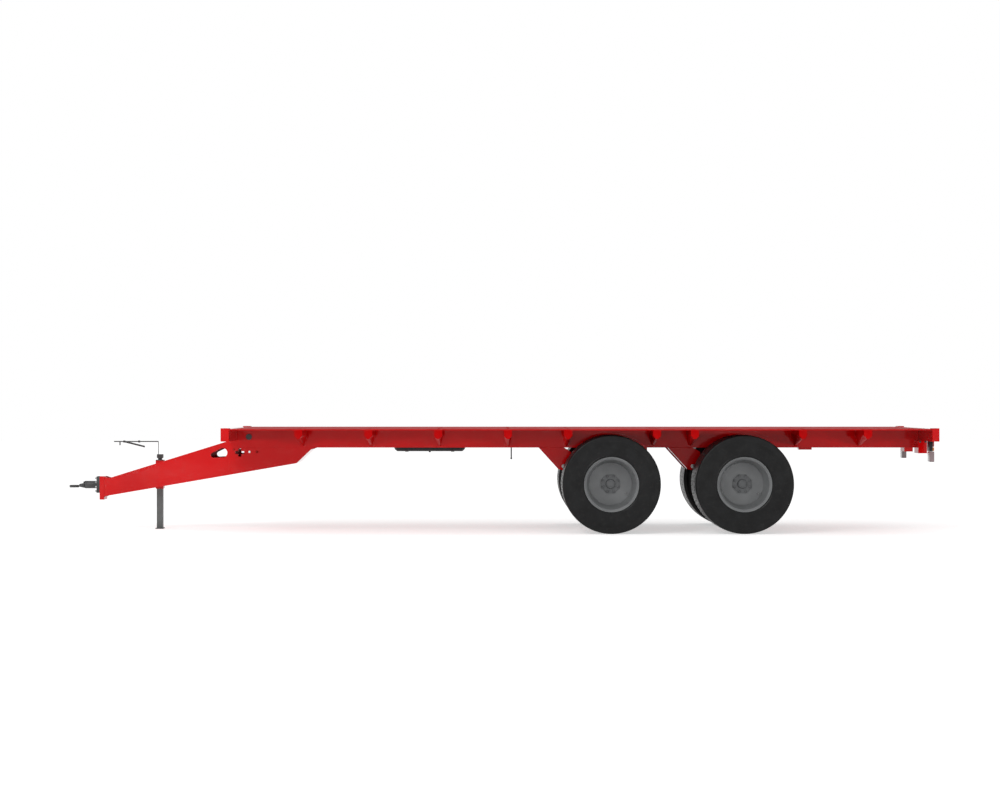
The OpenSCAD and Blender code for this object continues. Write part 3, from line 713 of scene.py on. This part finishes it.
for axle, side in WHEELS:
    body = f"wheel_{axle}_{side}"
    hub_low, hub_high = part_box(f"hub_{axle}_{side}")
    centre = middle_of(f"hub_{axle}_{side}")
    outward = -1 if side == "left" else 1
    centre.y = hub_low.y if outward < 0 else hub_high.y
    flange = ring(NUTS, NUT_CIRCLE, centre, -outward * RING_BELOW_CAP, math.pi / NUTS)
    nut_places = [(point, (0, outward, 0), NUT) for point in flange]
    copies(bolt, nut_places, f"wheel_nuts_{axle}_{side}", "hub_grey", body)

    clear()
    bpy.ops.mesh.primitive_cylinder_add(
        vertices=48, radius=CAP_RADIUS, depth=0.022, location=centre, rotation=(math.pi / 2, 0, 0))
    cap = bpy.context.object
    bake_place()
    edit(cap, "FACE")
    pick(cap, "faces", lambda f: f.normal.y * outward > 0.9)
    bpy.ops.mesh.inset(thickness=0.012)
    bpy.ops.mesh.inset(thickness=0.006, depth=0.004)
    clear()
    round_edges(cap, 0.002, 2)
    settle(cap, f"grease_cap_{axle}_{side}", "hub_grey")
    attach(cap, body)

    stem_at = centre + Vector((STEM_X, outward * (STEM / 2 - DISC_BELOW_CAP - 0.002), STEM_Z))
    clear()
    bpy.ops.mesh.primitive_cylinder_add(
        vertices=16, radius=0.0055, depth=STEM, location=stem_at, rotation=(math.pi / 2, 0, 0))
    stem = bpy.context.object
    bake_place()
    edit(stem, "FACE")
    pick(stem, "faces", lambda f: f.normal.y * outward > 0.9)
    bpy.ops.mesh.inset(thickness=0.001, depth=0)
    bpy.ops.mesh.inset(thickness=0.001, depth=0.012)
    settle(stem, f"tyre_valve_{axle}_{side}", "bright_bolt")
    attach(stem, body)
print("nuts per wheel", NUTS)

# %% [markdown]
# ## Bolts of the frame
#
# The tow eye's flange is bolted to the nose plate, and the spring clamps end in nuts under their plates. The
# rear boxes carry two small bolts each, and the hangers have one at their pins.

# %% Frame bolts
M20 = (0.03, 0.03, 0.03)
M30 = (0.044, 0.044, 0.04)
M14 = (0.022, 0.022, 0.018)
FLANGE_T = 0.045
FLANGE_BOLT_Y = 0.062
FLANGE_ROWS = (0.022, 0.075)
flange_low, flange_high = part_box("tow_flange")
flange_places = [
    (Vector((flange_high.x - FLANGE_T, y, z)), (-1, 0, 0), M20)
    for y in (-FLANGE_BOLT_Y, FLANGE_BOLT_Y)
    for z in [flange_low.z + row for row in FLANGE_ROWS] + [flange_high.z - row for row in FLANGE_ROWS[::-1]]
]
copies(bolt, flange_places, "flange_bolts", "bright_bolt", "frame")

# the rods of a clamp stand in from its plate's edges, fore and aft of the axle
ROD_IN = 0.011
ROD_X = 0.073
PLATE_W = 0.124
PLATE_UNDERSIDE = 0.018
clamp_low, clamp_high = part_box("spring_clamps")
plate_z = clamp_low.z + PLATE_UNDERSIDE
clamp_places = [
    (Vector((middle_of(axle).x + dx, side * (clamp_high.y - inset), plate_z)), (0, 0, -1), M20)
    for side in (-1, 1) for axle in ("axle_front", "axle_rear")
    for dx in (-ROD_X, ROD_X) for inset in (ROD_IN, PLATE_W - ROD_IN)
]
copies(bolt, clamp_places, "clamp_nuts", "bright_bolt", "frame")

# the front eye of each spring hangs on a pin through its hanger
EYE_RADIUS = 0.026
EYE_BELOW_TOP = 0.037
hanger_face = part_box("hangers_right")[1].y
pin_places = [
    (Vector((low.x + EYE_RADIUS, side * hanger_face, high.z - EYE_BELOW_TOP)), (0, side, 0), M30)
    for side, name in ((-1, "left"), (1, "right")) for low, high in islands(f"leaf_springs_{name}", gap=0.5)
]
copies(bolt, pin_places, "hanger_pin_nuts", "bright_bolt", "frame")

REAR_BOLTS_IN = (0.085, 0.02)
REAR_BOLTS_DOWN = 0.014
rear_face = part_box("rear_brackets")[1]
rear_bolts_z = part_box("rear_beam")[0].z - REAR_BOLTS_DOWN
rear_places = [
    (Vector((rear_face.x - inward, side * rear_face.y, rear_bolts_z)), (0, side, 0), M14)
    for side in (-1, 1) for inward in REAR_BOLTS_IN
]
copies(bolt, rear_places, "rear_box_bolts", "dark_steel", "frame")
print("frame bolts", len(flange_places) + len(clamp_places) + len(pin_places) + len(rear_places))

# %% [markdown]
# ## Weld beads
#
# The frame is welded, so a bead runs where plates meet. A bead is a thin round bar with ripples: the bar's
# long edges are subdivided, and every second ring is drawn in. It is modelled once, 0.1 m long, and copies
# are stretched to each joint.

# %% One weld bead as a model
BEAD_LENGTH = 0.1
RIPPLES = 20
clear()
bpy.ops.mesh.primitive_cylinder_add(
    vertices=6, radius=0.006, depth=BEAD_LENGTH, location=(0, 0, BEAD_LENGTH / 2))
bead = bpy.context.object
bake_place()
edit(bead, "EDGE")
pick(bead, "edges", lambda e: abs(e.verts[0].co.z - e.verts[1].co.z) > BEAD_LENGTH / 2)
bpy.ops.mesh.subdivide(number_cuts=RIPPLES - 1)
bpy.ops.mesh.select_mode(type="VERT")
pick(bead, "verts", lambda v: round(v.co.z * RIPPLES / BEAD_LENGTH) % 2 == 1)
bpy.ops.transform.resize(value=(0.72, 0.72, 1), center_override=(0, 0, BEAD_LENGTH / 2))
clear()
bead.name = "bead_model"


def weld(start, end):
    """A place for the bead model from start to end."""
    run = Vector(end) - Vector(start)
    return Vector(start), run.normalized(), (1, 1, run.length / BEAD_LENGTH)


print("bead model faces", len(bead.data.polygons))

# %% Weld beads of the frame
STRIP_HALF = 0.013
SHOULDER = 0.08
NOSE_Y = 0.106
NOSE_Z = (0.41, 0.66)
BEAM_WELD = 0.14
welds = []
for side, name in ((-1, "left"), (1, "right")):
    web_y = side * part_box("main_beam_right")[1].y
    for low, high in islands(f"outriggers_{name}"):
        mid_x = (low.x + high.x) / 2
        for dx in (-1, 1):
            wide, slim = mid_x + dx * (high.x - low.x) / 2, mid_x + dx * STRIP_HALF
            welds.append(weld((wide, web_y, high.z - 0.004), (wide, web_y, high.z - SHOULDER)))
            welds.append(weld((wide, web_y, high.z - SHOULDER), (slim, web_y, low.z + 0.002)))
beam_low, beam_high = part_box("front_beam")
plate_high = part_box("nose_plate")[1]
side_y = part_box("drawbar_side_right")[1].y
for side, name in ((-1, "left"), (1, "right")):
    y = side * side_y
    welds.append(weld(*[(plate_high.x, side * NOSE_Y, z) for z in NOSE_Z]))
    welds.append(weld((beam_high.x, y, beam_low.z), (beam_high.x, y, beam_low.z + BEAM_WELD)))
    welds.append(weld((beam_low.x, y, beam_low.z), (beam_high.x, y, beam_low.z)))
    for low, high in islands(f"hangers_{name}", gap=0.5):
        welds.append(weld((low.x + 0.01, y, high.z), (low.x + 0.3, y, high.z)))
copies(bead, welds, "frame_welds", "red_paint", "frame")
print("weld beads", len(welds))

# %% [markdown]
# ## Deck seams and plug welds
#
# The floor is four sheets, butted over the cross members and held from above by plug welds: small filled
# holes that stay as low domes. Domes are flattened spheres, modelled once and copied along each member.

# %% Deck details
clear()
bpy.ops.mesh.primitive_uv_sphere_add(segments=14, ring_count=6, radius=0.013, location=(0, 0, 0))
dome = bpy.context.object
edit(dome, "FACE")
bpy.ops.mesh.select_all(action="SELECT")
bpy.ops.transform.resize(value=(1, 1, 0.22), center_override=(0, 0, 0))
clear()
deck_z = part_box("floor_front")[1].z
deck_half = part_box("floor_front")[1].y
PLUG_ROW = (0.1, 0.28, 0.45, 0.65, 0.85, 1.02)
SEAM_END = 0.004
SEAM_SLIM = 0.6
spots = []
for low, high in islands("cross_members"):
    mid_x = (low.x + high.x) / 2
    for y in PLUG_ROW:
        for side in (-1, 1):
            spots.append((Vector((mid_x, side * y, deck_z)), (0, 0, 1), (1, 1, 1)))
copies(dome, spots, "deck_plug_welds", "red_floor", "frame")

seams = []
for sheet in ("floor_front", "floor_mid_front", "floor_mid_rear", "floor_rear"):
    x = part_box(sheet)[1].x - (SEAM_END if sheet == "floor_rear" else 0)
    stretch = 2 * (deck_half - SEAM_END) / BEAD_LENGTH
    start = Vector((x, -deck_half + SEAM_END, deck_z - 0.002))
    seams.append((start, (0, 1, 0), (SEAM_SLIM, SEAM_SLIM, stretch)))
copies(bead, seams, "deck_seams", "red_floor", "frame")
print("plug welds", len(spots), "seams", len(seams))

# %% [markdown]
# ## Air tank
#
# An air tank has domed ends, each with a round seam, and a drain valve below. It starts as a cylinder whose
# end faces are inset and pushed out in small steps, until they are domes. Domed ends matter: they are what
# makes it a pressure vessel.

# %% Air tank
# for each step of a dome: how far the face shrinks, and how far it is pushed out
DOME_STEPS = ((0.004, 0), (0.003, 0.006), (0.012, 0.016), (0.018, 0.012), (0.022, 0.008), (0.02, 0.003))
DOME_HEIGHT = sum(push for shrink, push in DOME_STEPS)
tank_low, tank_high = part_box("air_tank")
tank_r = (tank_high.y - tank_low.y) / 2
tank_middle = Vector(((tank_low.x + tank_high.x) / 2, 0, tank_high.z - tank_r))
clear()
bpy.ops.mesh.primitive_cylinder_add(
    vertices=64, radius=tank_r, depth=tank_high.x - tank_low.x - 2 * DOME_HEIGHT,
    location=tank_middle, rotation=(0, math.pi / 2, 0))
tank = bpy.context.object
bake_place()
for end in (-1, 1):
    edit(tank, "FACE")
    pick(tank, "faces", lambda f: f.normal.x * end > 0.9 and len(f.verts) > 8)
    for shrink, push in DOME_STEPS:
        bpy.ops.mesh.inset(thickness=shrink, depth=push)
settle(tank, "domed_air_tank", "black_parts")
clear()
drain_at = (tank_middle.x, 0, tank_low.z + 0.017)
bpy.ops.mesh.primitive_cylinder_add(vertices=20, radius=0.012, depth=0.03, location=drain_at)
drain = bpy.context.object
edit(drain, "FACE")
pick(drain, "faces", lambda f: f.normal.z < -0.9)
bpy.ops.mesh.inset(thickness=0.004, depth=0)
settle(drain, "tank_drain", "black_parts")
for piece in (tank, drain):
    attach(piece, "frame")
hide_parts("air_tank")
print("tank", round(tank_high.x - tank_low.x, 3), "m long")

# %% [markdown]
# ## Rear lamps
#
# Each lamp is an upright block: a dark housing with a red lens above, an amber band and a clear lens below.
# The housing is a rounded box that ends where the clear lens starts, because that lens wraps round the sides,
# so that it can be seen from beside the wagon. The other lenses are slabs that stand proud, with soft
# corners.

# %% Rear lamps
AMBER_START, WRAP_START = 0.28, 0.48
# each lens's top and bottom, as shares of the lamp's height from the top
LENSES = [
    ("lamp", 0.0, AMBER_START), ("lens_amber", AMBER_START, WRAP_START), ("lens_clear", WRAP_START, 1.0),
]
LENS_DEPTH = 0.02
LENS_GAP = 0.003


def box_of(centre, size):
    """A plain box, as a start for a piece."""
    clear()
    bpy.ops.mesh.primitive_cube_add(size=1, location=centre)
    piece = bpy.context.object
    piece.scale = size
    bake_place()
    return piece


def rounded_box(low, high, width):
    piece = box_of((low + high) / 2, high - low)
    round_edges(piece, width, 3)
    return piece


for side in ("left", "right"):
    low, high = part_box(f"rear_lamp_{side}")
    shell_back = high.x - LENS_DEPTH
    tall = high.z - low.z
    wrap_top = high.z - WRAP_START * tall
    housing = rounded_box(Vector((low.x, low.y, wrap_top)), Vector((shell_back, high.y, high.z)), 0.008)
    settle(housing, f"lamp_housing_{side}", "black_parts")
    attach(housing, "frame")
    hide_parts(f"rear_lamp_{side}")
    for finish, top, bottom in LENSES:
        wraps = top >= WRAP_START
        front, inset = (low.x + 0.004, 0.002) if wraps else (shell_back - 0.012, 0.008)
        slab = rounded_box(
            Vector((front, low.y + inset, high.z - bottom * tall + LENS_GAP)),
            Vector((high.x, high.y - inset, high.z - top * tall - LENS_GAP)), 0.007)
        settle(slab, f"{finish}_{side}", finish)
        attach(slab, "frame")
print("lamp lenses", 2 * len(LENSES))

# %% [markdown]
# ## Leaf spring clips
#
# Thin clips hold the leaves in line, one on each side of the axle. Each is a square ring of flat steel: a box
# round the pack whose two ends are deleted, then thickened.

# %% Spring clips
EYE_TO_AXLE = 0.586
PACK_MIDDLE = 0.0355
# each clip's place along the spring from the axle, and how far the spring's camber lifts it there
CLIPS = ((-0.21, 0.012), (0.16, 0.007))
CLIP_SIZE = (0.03, 0.088, 0.082)
CLIP_T = 0.004
clips = []
for name in ("left", "right"):
    for low, high in islands(f"leaf_springs_{name}", gap=0.5):
        for along, lift in CLIPS:
            spot = (low.x + EYE_TO_AXLE + along, (low.y + high.y) / 2, low.z + PACK_MIDDLE + lift)
            clip = box_of(spot, CLIP_SIZE)
            edit(clip, "FACE")
            pick(clip, "faces", lambda f: abs(f.normal.x) > 0.9)
            bpy.ops.mesh.delete(type="FACE")
            only(clip)
            wall = clip.modifiers.new("wall", "SOLIDIFY")
            wall.thickness = CLIP_T
            wall.offset = -1
            bpy.ops.object.modifier_apply(modifier=wall.name)
            clips.append(clip)
clip_set = settle(join(clips), "spring_clips", "running_gear")
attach(clip_set, "frame")
print("clips", len(clips))

# %% [markdown]
# ## Put the models away
#
# The bolt, bead and dome models were only patterns for their copies, so they are deleted.

# %% Tidy up
for model in (bolt, bead, dome):
    bpy.data.objects.remove(model)
clear()
